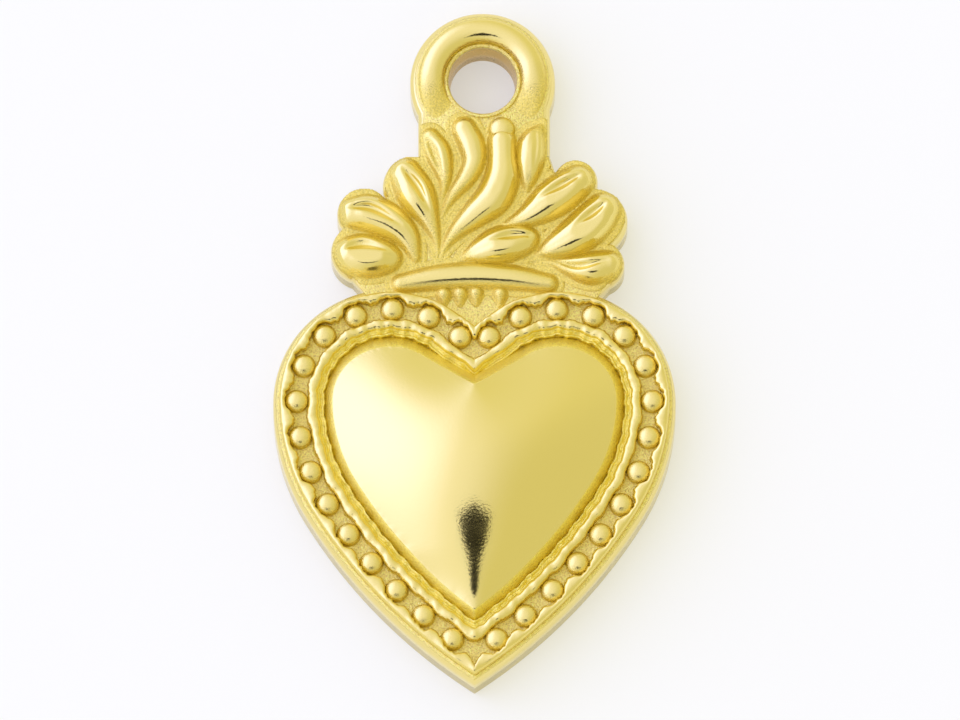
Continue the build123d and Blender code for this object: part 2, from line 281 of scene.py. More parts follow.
heartLow, heartHigh = boxMm("heart_plate")
heart = {"lobeRadius": 4.05, "flankRadius": 7.7, "flankTurn": 31.4, "notch": 37.0,
         "samples": (28, 144, 52, 92)}
heart["spread"] = heartHigh[0] - heart["lobeRadius"]
heart["lobeLine"] = heartHigh[1] - heart["lobeRadius"]
heart["depth"] = heart["lobeLine"] - heartLow[1]


def polar(centre, radius, degrees):
    turn = math.radians(degrees)
    return np.array([centre[0] + radius * math.cos(turn), centre[1] + radius * math.sin(turn)])


flankCentre = (heartHigh[0] - heart["flankRadius"], 0)
flankJoin = polar(flankCentre, heart["flankRadius"], -heart["flankTurn"])
runChord = np.array([0, -heart["depth"]]) - flankJoin
runRadius = -(runChord @ runChord) / (2 * runChord @ polar((0, 0), 1, -heart["flankTurn"]))
runCentre = polar(flankJoin, -runRadius, -heart["flankTurn"])


def heartPoint(inset, sample, notch):
    segment = 0
    while segment < 3 and sample >= heart["samples"][segment]:
        sample -= heart["samples"][segment]
        segment += 1
    share = sample / heart["samples"][segment]
    lobe = heart["lobeRadius"] - inset
    lobeStart = polar((heart["spread"], 0), lobe, 90 + notch)
    if segment == 0:
        notchPoint = np.array([0, lobeStart[1] - lobeStart[0] * math.tan(math.radians(notch))])
        return notchPoint + (lobeStart - notchPoint) * share
    if segment == 1:
        return polar((heart["spread"], 0), lobe, (90 + notch) * (1 - share))
    if segment == 2:
        return polar(flankCentre, heart["flankRadius"] - inset, -heart["flankTurn"] * share)
    run = runRadius - inset
    tipAngle = -math.degrees(math.acos(-runCentre[0] / run))
    return polar(runCentre, run, -heart["flankTurn"] + (tipAngle + heart["flankTurn"]) * share)


halfCount = sum(heart["samples"])


def heartLoop(inset, z, notch=heart["notch"]):
    insets = np.broadcast_to(inset, halfCount + 1)
    right = np.array([heartPoint(insets[i], i, notch) for i in range(halfCount + 1)])
    right[:, 1] += heart["lobeLine"]
    right[[0, -1], 0] = 0
    left = right[-2:0:-1] * [-1, 1]
    loop = np.concatenate([right, left])[::-1]
    heights = np.broadcast_to(z, halfCount + 1)
    heights = np.concatenate([heights, heights[-2:0:-1]])[::-1]
    return np.column_stack([loop, heights])


border = {"shoulder": 0.22, "rimWeb": 0.21, "rimSwell": 0.30, "rimRise": 0.40, "beadInset": 0.81,
          "cordOuter": 1.20, "cordSwell": 0.10, "cordInner": 1.56, "cordRise": 0.36, "stepOuter": 1.49,
          "stepInner": 1.78, "stepRise": 0.25, "domeInset": 1.76, "beadsASide": 15, "beadGrowth": 1.10,
          "shoulderDrop": 0.40, "floorRings": (0.9, 2.6), "bayShare": 0.62, "bayPower": 1.6}
sunk = 0.08  # how far each foot goes into its plate
toe = 0.05  # bevel round the back edges

# Where each place on the outline lies between its beads: 0 midway between two, 1 beside one
beadPath = heartLoop(border["beadInset"], 0)[::-1][:halfCount + 1, :2]
pathReach = np.concatenate([[0], np.cumsum(np.linalg.norm(np.diff(beadPath, axis=0), axis=1))])
beadReach = []
for beadNumber in range(1, border["beadsASide"] + 1):
    beadLow, beadHigh = boxMm(f"border_bead_{beadNumber:02d}")
    beadMiddle = (beadLow[:2] + beadHigh[:2]) / 2
    beadReach.append(pathReach[np.argmin(np.linalg.norm(beadPath - beadMiddle, axis=1))])
beadPitch = (beadReach[-1] - beadReach[0]) / (border["beadsASide"] - 1)
beadPhase = (pathReach - beadReach[0]) / beadPitch
fromMiddle = np.abs(2 * (beadPhase - np.floor(beadPhase)) - 1)
unevenness = 0.8 + 0.25 * np.sin(np.floor(beadPhase) * 2.4 + 0.5)  # the bays swell unevenly
bulge = np.clip(1 - (fromMiddle / border["bayShare"]) ** border["bayPower"], 0, 1) * unevenness

ridgeForm = {"steps": 13, "foot": 0.01}


def ridge(node, outer, inner, rise, waver, flatness, groove=0.0):
    outer = np.broadcast_to(outer, halfCount + 1)
    inner = np.broadcast_to(inner, halfCount + 1)
    loops = [heartLoop(outer, floorLevel - sunk)]
    for angle in np.linspace(0, math.pi, ridgeForm["steps"]):
        across = 0.5 - 0.5 * math.cos(angle)
        bump = math.sin(angle) ** flatness * (1 - groove * math.cos(2 * angle) ** 2)
        z = floorLevel - ridgeForm["foot"] + rise * bump * (1 + waver)
        loops.append(heartLoop(outer + (inner - outer) * across, z))
    loops.append(heartLoop(inner, floorLevel - sunk))
    points = np.concatenate(loops)
    faces = bandFaces(len(loops), 2 * halfCount, closeRings=True)
    return makePiece(node, points, faces, "polished_relief", sharpAngle=75)


plateLoops = [heartLoop(toe, 0), heartLoop(0.0, toe), heartLoop(0.0, floorLevel - border["shoulderDrop"])]
for angle in np.linspace(0.15, 1, 8) * math.pi / 2:
    plateLoops.append(heartLoop(border["shoulder"] * (1 - math.cos(angle)),
                                floorLevel - border["shoulderDrop"] * (1 - math.sin(angle))))
plateLoops += [heartLoop(inset, floorLevel) for inset in border["floorRings"]]
platePoints = np.concatenate(plateLoops)
plateFaces = bandFaces(len(plateLoops), 2 * halfCount)
plateFaces += fillFaces([plateLoops[0][:, :2]], [0], flip=True)
plateFaces += fillFaces([plateLoops[-1][:, :2]], [(len(plateLoops) - 1) * 2 * halfCount], flip=False)
makePiece("heart_plate", platePoints, plateFaces, "grained_plate", sharpAngle=60)


def wave(perMm, phase=0.0):
    return np.sin(pathReach * perMm + phase)


ripple = 0.12 * wave(7.1) * wave(3.3, 0.7) + 0.03 * wave(17, 1.1)  # share of a ridge's height
sway = 0.025 * wave(6.7, 2.0) + 0.012 * wave(17.3)  # sideways, like hand-laid wire
nicks = 0.035 * wave(19) * wave(7.3, 0.6) + 0.014 * wave(31)  # dents along the rim's inner edge
rimInner = border["shoulder"] + border["rimWeb"] + border["rimSwell"] * bulge + nicks
ridge("outer_rim", border["shoulder"], rimInner, border["rimRise"], waver=0.3 * ripple, flatness=0.42)
cordOuter = border["cordOuter"] - border["cordSwell"] * bulge - 0.4 * nicks
ridge("inner_cord", cordOuter, border["cordInner"] + sway, border["cordRise"], waver=0.7 * ripple,
      flatness=0.55)
stepPiece = ridge("inner_step", border["stepOuter"] + sway, border["stepInner"] + sway, border["stepRise"],
                  waver=2 * ripple, flatness=0.6, groove=0.5)
stepPiece.data.materials[0] = goldPlateFiled


def domedProfile(radius, rise, form):
    profile = [(radius * form["foot"], floorLevel - sunk), (radius, floorLevel + form["lip"])]
    for angle in np.linspace(0.1, 0.97, form["steps"]) * math.pi / 2:
        profile.append((radius * math.cos(angle) ** form["power"], floorLevel + rise * math.sin(angle)))
    return profile


bead = {"foot": 0.9, "lip": 0.02, "steps": 14, "power": 0.92, "around": 40}
for beadNumber in range(1, 2 * border["beadsASide"] + 1):
    beadNode = f"border_bead_{beadNumber:02d}"
    beadLow, beadHigh = boxMm(beadNode)
    beadRadius = (beadHigh[0] - beadLow[0]) / 2 * border["beadGrowth"]
    beadRise = (beadHigh[2] - floorLevel) * border["beadGrowth"]
    beadMiddle = (beadLow[:2] + beadHigh[:2]) / 2
    lathe(beadNode, domedProfile(beadRadius, beadRise, bead), beadMiddle, bead["around"], "polished_relief")
print("heart border ready")


# Puffed dome: a membrane blown up over the heart, inside a rounded skirt

dome = {"footNotch": 31.0, "notch": 36.0, "puffNotch": 24.0, "skirtRun": (0.48, 0.28), "skirtRise": 0.42,
        "skirtSteps": 9, "skirtCurl": 0.12, "skirtChange": (0.2, 0.6), "cleftLift": 0.48,
        "cleftReach": 0.90, "cleftSpan": 1.8, "peakDrop": 2.2, "ridgeSlope": 0.15, "ridgeRound": 0.10,
        "ridgeRun": (2.1, 0.2), "gridPitch": 0.06, "rings": 56, "solverSteps": 900, "solverEnd": 1e-12}
domeTop = boxMm("heart_dome")[1][2]


def insideLoop(points, loop):
    x, y = points[:, 0], points[:, 1]
    inside = np.zeros(len(points), bool)
    for (x0, y0), (x1, y1) in zip(loop, np.roll(loop, -1, axis=0)):
        if y0 == y1:
            continue
        crosses = (y0 > y) != (y1 > y)
        inside ^= crosses & (x < (x1 - x0) * (y - y0) / (y1 - y0) + x0)
    return inside


def membrane(loop, pitch):
    low = loop.min(0) - 2 * pitch
    high = loop.max(0) + 3 * pitch
    across = np.arange(low[0], high[0], pitch)
    up = np.arange(low[1], high[1], pitch)
    gridX, gridY = np.meshgrid(across, up, indexing="ij")
    mask = insideLoop(np.stack([gridX.ravel(), gridY.ravel()], axis=1), loop).reshape(gridX.shape)

    def stiffness(field):
        result = 4 * field
        result[1:] -= field[:-1]
        result[:-1] -= field[1:]
        result[:, 1:] -= field[:, :-1]
        result[:, :-1] -= field[:, 1:]
        return result * mask

    rise = np.zeros(gridX.shape)
    residual = mask.astype(float)
    search = residual.copy()
    energy = (residual ** 2).sum()
    for step in range(dome["solverSteps"]):
        pulled = stiffness(search)
        reach = energy / (search * pulled).sum()
        rise += reach * search
        residual -= reach * pulled
        newEnergy = (residual ** 2).sum()
        if newEnergy < dome["solverEnd"]:
            break
        search = residual + newEnergy / energy * search
        energy = newEnergy
    return low, rise / rise.max()


def sampleGrid(field, low, pitch, points):
    place = (points - low) / pitch
    corner = np.clip(np.floor(place).astype(int), 0, np.array(field.shape) - 2)
    u, v = (place - corner).T
    i, j = corner.T
    return (field[i, j] * (1 - u) * (1 - v) + field[i + 1, j] * u * (1 - v)
            + field[i, j + 1] * (1 - u) * v + field[i + 1, j + 1] * u * v)


towardsTip = smoothStep(np.arange(halfCount + 1) / halfCount, *dome["skirtChange"])
lobeRun, tipRun = dome["skirtRun"]  # the skirt is broad over the lobes and narrow at the tip
creaseInset = border["domeInset"] + lobeRun + (tipRun - lobeRun) * towardsTip
creaseLoop = heartLoop(creaseInset, 0, dome["notch"])[:, :2]
footLoop = heartLoop(border["domeInset"], 0, dome["footNotch"])[:, :2]
nearCleft = (np.abs(creaseLoop[:, 0]) < 2 * dome["cleftSpan"]) & (creaseLoop[:, 1] > heart["lobeLine"])
cleftArms = creaseLoop[nearCleft]
cleftArms = cleftArms[np.argsort(cleftArms[:, 0])]
gridLow, puffed = membrane(heartLoop(creaseInset, 0, dome["puffNotch"])[:, :2], dome["gridPitch"])
peak = np.array([0, heart["lobeLine"] - dome["peakDrop"]])
puffRise = domeTop - floorLevel - dome["skirtRise"]


def puffHeight(points):
    fromArms = lineField(points, np.column_stack([cleftArms, np.zeros(len(cleftArms))]))[0]
    nearness = -(points[:, 0] / dome["cleftSpan"]) ** 2 - fromArms / dome["cleftReach"]
    lift = dome["cleftLift"] * np.exp(nearness)
    keen = dome["ridgeSlope"] * smoothStep(points[:, 1] - creaseLoop[:, 1].min(), *dome["ridgeRun"])
    fall = keen * (np.hypot(points[:, 0], dome["ridgeRound"]) - dome["ridgeRound"])
    puff = puffRise * sampleGrid(puffed, gridLow, dome["gridPitch"], points)
    return dome["skirtRise"] + puff + lift - fall


creaseRise = puffHeight(creaseLoop)
domeLoops = [np.column_stack([footLoop, np.full(2 * halfCount, floorLevel - sunk)])]
for share in np.linspace(0, 1, dome["skirtSteps"]):
    slope = creaseRise * (share - dome["skirtCurl"] * share ** 6) / (1 - dome["skirtCurl"])
    domeLoops.append(np.column_stack([footLoop + (creaseLoop - footLoop) * share, floorLevel + slope]))
for ring in range(1, dome["rings"]):
    around = peak + (creaseLoop - peak) * (1 - ring / dome["rings"])
    domeLoops.append(np.column_stack([around, floorLevel + puffHeight(around)]))
peakZ = floorLevel + puffHeight(peak[None])[0]
domePoints = np.concatenate(domeLoops + [np.array([[*peak, peakZ]])])
domeFaces = bandFaces(len(domeLoops), 2 * halfCount)
lastRing = (len(domeLoops) - 1) * 2 * halfCount
for i in range(2 * halfCount):
    domeFaces.append((lastRing + i, lastRing + (i + 1) % (2 * halfCount), lastRing + 2 * halfCount))
domeFaces += fillFaces([domeLoops[0][:, :2]], [0], flip=True)
domePiece = makePiece("heart_dome", domePoints, domeFaces, "polished_relief", sharpAngle=70)
domePiece.data.materials.append(goldPlateFiled)
for polygon in domePiece.data.polygons[:dome["skirtSteps"] * 2 * halfCount]:
    polygon.material_index = 1
print("dome ready")


# Plates behind the flames and round the hole: sawn edge, rounded shoulder, flat grained floor

bandBox = boxMm("crown_band")
seamLine = boxMm("crown_plate")[1][1]


def arcThrough(a, b, c, steps):
    a, b, c = [np.asarray(p, float) for p in (a, b, c)]
    m = np.array([b - a, c - a]) * 2
    middle = np.linalg.solve(m, [b @ b - a @ a, c @ c - a @ a])
    radius = np.linalg.norm(a - middle)
    angles = [math.atan2(*(p - middle)[::-1]) for p in (a, b, c)]
    turn = (angles[2] - angles[0]) % (2 * math.pi)
    if (angles[1] - angles[0]) % (2 * math.pi) > turn:
        turn -= 2 * math.pi
    sweep = angles[0] + turn * np.linspace(0, 1, steps, endpoint=False)
    return np.stack([middle[0] + radius * np.cos(sweep), middle[1] + radius * np.sin(sweep)], axis=1)


plateForm = {"steepest": 62.0, "leastInward": 0.35, "holeSteps": 96}


def edgePlate(node, outline, joined, floor, shoulder, drop, hole=None):
    ahead = np.roll(outline, -1, axis=0) - outline
    ahead /= np.maximum(np.linalg.norm(ahead, axis=1, keepdims=True), 1e-9)
    normal = np.stack([-ahead[:, 1], ahead[:, 0]], axis=1) * ~joined[:, None]
    inward = normal + np.roll(normal, 1, axis=0)
    inward /= np.maximum(np.linalg.norm(inward, axis=1, keepdims=True), plateForm["leastInward"])
    eased = np.linalg.norm(inward, axis=1)
    size = len(outline)
    loops = [np.column_stack([outline + toe * inward, np.zeros(size)]),
             np.column_stack([outline, np.full(size, toe)])]
    steepest = math.radians(plateForm["steepest"])
    for angle in np.linspace(0, 1, 9) * steepest:
        z = floor - drop * (1 - math.sin(angle) / math.sin(steepest)) * eased
        inset = shoulder * (1 - math.cos(angle)) / (1 - math.cos(steepest))
        loops.append(np.column_stack([outline + inset * inward, z]))
    points = np.concatenate(loops)
    faces = bandFaces(len(loops), size)
    bottoms, bottomStarts = [loops[0][:, :2]], [0]
    tops, topStarts = [loops[-1][:, :2]], [(len(loops) - 1) * size]
    if hole is not None:
        around = plateForm["holeSteps"]
        turns = -np.arange(around) * 2 * math.pi / around
        start = len(points)
        rings = []
        for radius, z in hole["profile"]:
            rings.append(np.column_stack([hole["centre"][0] + radius * np.cos(turns),
                                          hole["centre"][1] + radius * np.sin(turns), np.full(around, z)]))
        points = np.concatenate([points] + rings)
        faces += [tuple(start + i for i in face) for face in bandFaces(len(rings), around)]
        bottoms.append(rings[0][:, :2])
        bottomStarts.append(start)
        tops.append(rings[-1][:, :2])
        topStarts.append(start + (len(rings) - 1) * around)
    faces += fillFaces(bottoms, bottomStarts, flip=True)
    faces += fillFaces(tops, topStarts, flip=False)
    return makePiece(node, points, faces, "grained_plate", sharpAngle=60)


crownPlate = {
    "leftFoot": (-4.20, -0.32), "rightFoot": (4.65, -0.53), "shoulder": 0.28, "drop": 0.40,
    "leftLobes": [((-4.93, 0.80), (-4.55, 1.49)), ((-4.72, 2.14), (-3.05, 2.56)),
                  ((-2.84, 3.78), (-1.94, 4.07))],
    "rightLobes": [((5.16, 0.30), (4.83, 0.89)), ((5.12, 2.35), (4.20, 2.92)),
                   ((3.98, 3.76), (2.78, 3.50))],
    "neckRight": (2.60, 4.07), "lobeSteps": 36, "underRim": 0.22, "tuckAbove": 2.0, "tuckMargin": 0.5}
neckSides = (crownPlate["leftLobes"][-1][1][0], crownPlate["neckRight"][0])
crownLine = seamLine - crownPlate["neckRight"][1]  # the crown's base line, along the top of the band
edgeParts = []
corner = crownPlate["rightFoot"]
for farPoint, notchPoint in crownPlate["rightLobes"]:
    edgeParts.append(arcThrough(corner, farPoint, notchPoint, crownPlate["lobeSteps"]))
    corner = notchPoint
edgeParts.append(np.array([corner, crownPlate["neckRight"]]))
outerCount = sum(len(part) for part in edgeParts)
leftCorners = [crownPlate["leftFoot"]] + [notch for far, notch in crownPlate["leftLobes"]]
for i in (2, 1, 0):
    edgeParts.append(arcThrough(leftCorners[i + 1], crownPlate["leftLobes"][i][0], leftCorners[i],
                                crownPlate["lobeSteps"]))
edgeParts.append(np.array([crownPlate["leftFoot"]]))
crownEdge = np.concatenate(edgeParts) + [0, crownLine]
underRim = heartLoop(crownPlate["underRim"], 0)[:, :2]
leftReach = crownPlate["leftFoot"][0] + crownPlate["tuckMargin"]
rightReach = crownPlate["rightFoot"][0] - crownPlate["tuckMargin"]
tucked = underRim[(underRim[:, 1] > heart["lobeLine"] + crownPlate["tuckAbove"])
                  & (underRim[:, 0] > leftReach) & (underRim[:, 0] < rightReach)]
tucked = tucked[np.argsort(tucked[:, 0])]
crownOutline = np.concatenate([crownEdge, tucked])
crownJoined = np.concatenate([np.zeros(len(crownEdge), bool), np.ones(len(tucked), bool)])
crownJoined[[outerCount - 1, len(crownEdge) - 1]] = True
edgePlate("crown_plate", crownOutline, crownJoined, floorLevel, crownPlate["shoulder"], crownPlate["drop"])

loopTop = boxMm("hanging_loop")[1][1]
loop = {"radius": 2.5, "sideways": 0.28, "bore": 1.12, "shoulder": 0.30, "drop": 0.42, "lip": 0.07,
        "lipIn": 0.06, "lipMiddle": 0.14, "steps": 120, "neckSteps": 10}
loop["centre"] = np.array([loop["sideways"], loopTop - loop["radius"]])
leftTurn = math.asin((neckSides[0] - loop["centre"][0]) / loop["radius"])
rightTurn = math.asin((neckSides[1] - loop["centre"][0]) / loop["radius"])
fromAngle = -math.pi / 2 + rightTurn
toAngle = 1.5 * math.pi + leftTurn
sweep = np.linspace(fromAngle, toAngle, loop["steps"])
ringEdge = np.stack([loop["centre"][0] + loop["radius"] * np.cos(sweep),
                     loop["centre"][1] + loop["radius"] * np.sin(sweep)], axis=1)
neckSteps = np.linspace(0, 1, loop["neckSteps"])[:-1, None]
rightSide = np.array([neckSides[1], seamLine]) * (1 - neckSteps) + ringEdge[0] * neckSteps
leftSide = ringEdge[-1] * (1 - neckSteps) + np.array([neckSides[0], seamLine]) * neckSteps
loopOutline = np.concatenate([rightSide, ringEdge, leftSide[1:], [[neckSides[0], seamLine]]])
# Wall of the hole: bevelled at the back, straight, then opening under a rounded lip
boreProfile = [(loop["bore"] + 0.04, 0.0), (loop["bore"], toe), (loop["bore"], floorLevel - 0.6),
               (loop["bore"] + 0.05, floorLevel - 0.12), (loop["bore"] + loop["lipIn"], floorLevel - 0.02)]
lipHalf = loop["lipMiddle"] - loop["lipIn"]
for angle in np.linspace(0, 1, 9) * math.pi:
    boreProfile.append((loop["bore"] + loop["lipMiddle"] - lipHalf * math.cos(angle),
                        floorLevel + loop["lip"] * math.sin(angle)))
loopJoined = np.arange(len(loopOutline)) == len(loopOutline) - 1
loopPiece = edgePlate("hanging_loop", loopOutline, loopJoined, floorLevel, loop["shoulder"], loop["drop"],
                      {"centre": loop["centre"], "profile": boreProfile})
loopPiece.data.materials.append(goldPlateBoreShaded)
for polygon in loopPiece.data.polygons:
    fromCentre = math.dist(polygon.center[:2], loop["centre"] * mm)
    if fromCentre < (loop["bore"] + loop["lip"]) * mm:  # the wall of the hole, which takes the darker gold of painted shade
        polygon.material_index = 1

collar = {"inner": 1.32, "outer": 2.21, "rise": 0.44, "from": -50.0, "fade": 70.0, "steps": 140,
          "sunk": 0.10, "dip": 0.02, "power": 0.9, "across": 19}
collarRings = []
for degrees in np.linspace(collar["from"], 180 - collar["from"], collar["steps"]):
    edgeGap = min(degrees - collar["from"], 180 - collar["from"] - degrees)
    fade = smoothStep(edgeGap, 0, collar["fade"])
    profile = [(collar["inner"], -collar["sunk"])]
    for angle in np.linspace(0, math.pi, collar["across"]):
        across = 0.5 - 0.5 * math.cos(angle)
        radius = collar["inner"] + (collar["outer"] - collar["inner"]) * across
        bump = (collar["dip"] + collar["rise"]) * fade * math.sin(angle) ** collar["power"]
        profile.append((radius, bump - collar["dip"]))
    profile.append((collar["outer"], -collar["sunk"]))
    ring = [[*polar(loop["centre"], radius, degrees), floorLevel + z] for radius, z in profile]
    collarRings.append(ring)
collarSize = len(collarRings[0])
collarCount = len(collarRings) * collarSize
collarFaces = [face[::-1] for face in bandFaces(len(collarRings), collarSize)]
collarFaces.append(tuple(range(collarSize)))
collarFaces.append(tuple(range(collarCount - collarSize, collarCount))[::-1])
makePiece("loop_collar", np.concatenate(collarRings), collarFaces, "polished_relief", sharpAngle=75)
print("plates and loop ready")


# Flames: spines as (x, y from the crown's base line, half width), hollows as three places on the leaf

flames = {
    "left_bud": {
        "spine": [(-2.62, 0.30, 0.12), (-3.12, 0.38, 0.48), (-3.75, 0.44, 0.62), (-4.24, 0.50, 0.52)],
        "power": 2.1,
        "hollow": [(-4.52, 0.60, 0.04), (-3.88, 0.76, 0.23), (-2.95, 0.56, 0.04)]},
    "left_low_leaf": {
        "spine": [(-2.02, 0.38, 0.14), (-2.32, 1.12, 0.34), (-2.87, 1.62, 0.48), (-3.60, 1.95, 0.53),
                  (-4.14, 1.98, 0.44)],
        "hollow": [(-4.40, 2.10, 0.04), (-3.55, 2.07, 0.20), (-2.50, 1.47, 0.04)]},
    "left_mid_leaf": {
        "spine": [(-1.25, 0.38, 0.02), (-1.32, 1.04, 0.12), (-1.60, 1.84, 0.30), (-2.00, 2.61, 0.52),
                  (-2.38, 3.38, 0.44)],
        "hollow": [(-2.48, 3.52, 0.04), (-1.98, 2.88, 0.19), (-1.52, 1.98, 0.04)]},
    "left_high_leaf": {
        "spine": [(-1.18, 2.30, 0.02), (-1.03, 3.00, 0.14), (-1.08, 3.54, 0.26), (-1.26, 4.14, 0.35),
                  (-1.52, 4.68, 0.26)],
        "hollow": [(-1.70, 4.72, 0.04), (-1.40, 4.12, 0.18), (-1.10, 3.20, 0.04)]},
    "hooked_tongue": {
        "spine": [(-1.17, 1.69, 0.02), (-0.96, 2.23, 0.10), (-0.67, 2.71, 0.18), (-0.27, 3.24, 0.26),
                  (-0.02, 3.84, 0.31), (-0.10, 4.40, 0.36), (-0.36, 4.98, 0.34)]},
    "centre_stem": {
        "spine": [(-1.16, 0.38, 0.02), (-0.96, 0.86, 0.12), (-0.56, 1.39, 0.24), (0.02, 1.93, 0.38),
                  (0.65, 2.53, 0.50), (0.94, 3.24, 0.48), (0.96, 3.90, 0.41), (0.94, 4.52, 0.40)]},
    "right_blade": {
        "spine": [(1.78, 2.66, 0.02), (1.86, 3.30, 0.26), (1.92, 3.95, 0.41), (1.99, 4.50, 0.36),
                  (2.30, 5.10, 0.06)],
        "hollow": [(2.10, 4.95, 0.02), (2.12, 4.30, 0.07), (2.02, 3.30, 0.02)]},
    "right_high_leaf": {
        "spine": [(0.88, 1.55, 0.02), (1.23, 1.61, 0.13), (1.87, 1.88, 0.32), (2.61, 2.41, 0.52),
                  (3.25, 2.89, 0.52), (3.56, 3.13, 0.44)],
        "hollow": [(2.20, 2.42, 0.04), (2.96, 2.86, 0.18), (3.74, 3.32, 0.04)]},
    "almond_leaf": {
        "spine": [(-0.48, 0.38, 0.04), (0.19, 0.60, 0.34), (0.88, 0.82, 0.53), (1.55, 0.98, 0.46),
                  (1.84, 1.06, 0.32)],
        "hollow": [(0.54, 0.92, 0.04), (1.23, 1.08, 0.17), (1.98, 1.14, 0.04)]},
    "right_mid_leaf": {
        "spine": [(2.04, 0.46, 0.02), (2.81, 0.79, 0.34), (3.59, 1.23, 0.54), (4.11, 1.69, 0.55),
                  (4.42, 2.08, 0.48)],
        "hollow": [(3.45, 1.42, 0.04), (4.02, 1.84, 0.18), (4.56, 2.30, 0.04)]},
    "right_low_leaf": {
        "spine": [(2.27, 0.27, 0.02), (2.73, 0.21, 0.12), (3.30, 0.07, 0.28), (4.00, 0.00, 0.46),
                  (4.58, 0.13, 0.40)],
        "hollow": [(2.70, 0.28, 0.03), (3.62, 0.02, 0.15), (4.66, 0.24, 0.04)]},
}
leafForm = {"fullness": 0.90, "power": 2.8, "foot": 0.10, "pitch": 0.025, "steps": 60, "margin": 0.35,
            "girth": 1.29, "hollowDepth": 1.2, "hollowGirth": 1.15, "hollowPower": 1.5, "hollowSteps": 30,
            "edgeGap": 0.12, "edgeHalf": 0.07, "edgeRise": 0.04, "edgeFoot": 0.04, "capDrop": 0.32,
            "capRise": 0.90, "capRun": 0.42, "seamReach": 0.6, "heartAbove": 0.3, "heartSide": 3.9}
plateEdges = [crownOutline, loopOutline]


def edgeCap(points):
    depth = np.full(len(points), -1.0)
    for outline in plateEdges:
        closed = np.vstack([outline, outline[:1]])
        away = lineField(points, np.column_stack([closed, np.zeros(len(closed))]))[0]
        depth = np.maximum(depth, np.where(insideLoop(points, outline), away, -away))
    seam = (points[:, 0] > neckSides[0]) & (points[:, 0] < neckSides[1])
    sideways = np.minimum(points[:, 0] - neckSides[0], neckSides[1] - points[:, 0])
    nearSeam = seam & (np.abs(points[:, 1] - seamLine) < leafForm["seamReach"])
    depth = np.where(nearSeam, np.maximum(depth, sideways), depth)
    nearHeart = ((points[:, 1] < bandBox[1][1] + leafForm["heartAbove"])
                 & (np.abs(points[:, 0]) < leafForm["heartSide"]))
    depth = np.where(nearHeart, 1.0, depth)
    turn = np.clip(depth / leafForm["capRun"], 0, 1) * math.pi / 2
    return np.where(depth < 0, -1.0, leafForm["capRise"] * np.sin(turn) - leafForm["capDrop"])


def softFloor(height, foot):
    blend = np.clip((height + foot) / (2 * foot), 0, 1)
    return np.where(height > foot, height, foot * blend * blend)


def tongueHeight(line, fullness, power, edgeRise, hollow=None):
    def heightOf(points):
        away, width = lineField(points, line)
        body = fullness * width * (1 - (away / width) ** power)
        if hollow is not None:
            gap, hollowWidth = lineField(points, hollow)
            scoop = np.clip(1 - (gap / hollowWidth) ** 2, 0, 1) ** leafForm["hollowPower"]
            body -= leafForm["hollowDepth"] * hollowWidth * scoop
        near = away < width + leafForm["margin"]
        cap = np.full(len(points), -1.0)
        cap[near] = edgeCap(points[near])
        body = np.minimum(body, cap)
        inside = body > -leafForm["foot"]
        rise = softFloor(body, leafForm["foot"])
        if edgeRise > 0:
            beside = away - width - leafForm["edgeGap"]
            edge = np.minimum(edgeRise * (1 - (beside / leafForm["edgeHalf"]) ** 2), cap)
            rise = np.maximum(rise, softFloor(edge, leafForm["edgeFoot"]))
            inside |= edge > -leafForm["edgeFoot"]
        return rise, inside
    return heightOf


def tonguePiece(node, stations, fullness, power, edgeRise, hollow=None):
    line = smoothLine(stations, leafForm["steps"])
    reach = line[:, 2].max() + leafForm["margin"]
    patchSolid(node, line[:, :2].min(0) - reach, line[:, :2].max(0) + reach, leafForm["pitch"],
               tongueHeight(line, fullness, power, edgeRise, hollow), floorLevel, "polished_relief")


for flameNode, flame in flames.items():
    hollowLine = None
    if "hollow" in flame:
        hollowLine = smoothLine(flame["hollow"], leafForm["hollowSteps"])
        hollowLine[:, 1] += crownLine
        hollowLine[:, 2] *= leafForm["hollowGirth"]
    spine = [(x, y + crownLine, half * leafForm["girth"]) for x, y, half in flame["spine"]]
    tonguePiece(flameNode, spine, leafForm["fullness"], flame.get("power", leafForm["power"]),
                leafForm["edgeRise"], hollowLine)

band = {"half": 0.50, "bow": 0.28, "fullness": 0.80, "drop": 0.26, "thinning": 0.3, "power": 2.4,
        "edgeRise": 0.04}
bandReach = (bandBox[1][0] - bandBox[0][0]) / 2 - band["half"]
bandStations = [(share * bandReach, crownLine - band["drop"] - band["bow"] * share ** 2,
                 band["half"] * (1 - band["thinning"] * share ** 2)) for share in (-1, -0.5, 0, 0.5, 1)]
tonguePiece("crown_band", bandStations, band["fullness"], band["power"], band["edgeRise"])

drop = {"girth": 2.0, "tail": 0.08, "tailHalf": 0.09, "fullness": 0.9, "power": 2.2}
for dropNumber in range(1, 5):
    dropNode = f"band_drop_{dropNumber}"
    dropLow, dropHigh = boxMm(dropNode)
    dropHalf = (dropHigh[0] - dropLow[0]) / 2
    dropX = (dropLow[0] + dropHigh[0]) / 2
    dropStations = [(dropX, dropHigh[1] - dropHalf, dropHalf * drop["girth"]),
                    (dropX, dropLow[1] - drop["tail"], drop["tailHalf"])]
    tonguePiece(dropNode, dropStations, drop["fullness"], drop["power"], 0.0)

ball = {"girth": 1.28, "foot": 1.0, "lip": 0.03, "steps": 16, "power": 0.9, "around": 48}
ballLow, ballHigh = boxMm("stem_ball")
ballRadius = (ballHigh[0] - ballLow[0]) / 2 * ball["girth"]
ballProfile = domedProfile(ballRadius, ballHigh[2] - floorLevel, ball)
lathe("stem_ball", ballProfile, (ballLow[:2] + ballHigh[:2]) / 2, ball["around"], "polished_relief")
print("flames ready")


# Stage: white floor, tent light by direction, camera

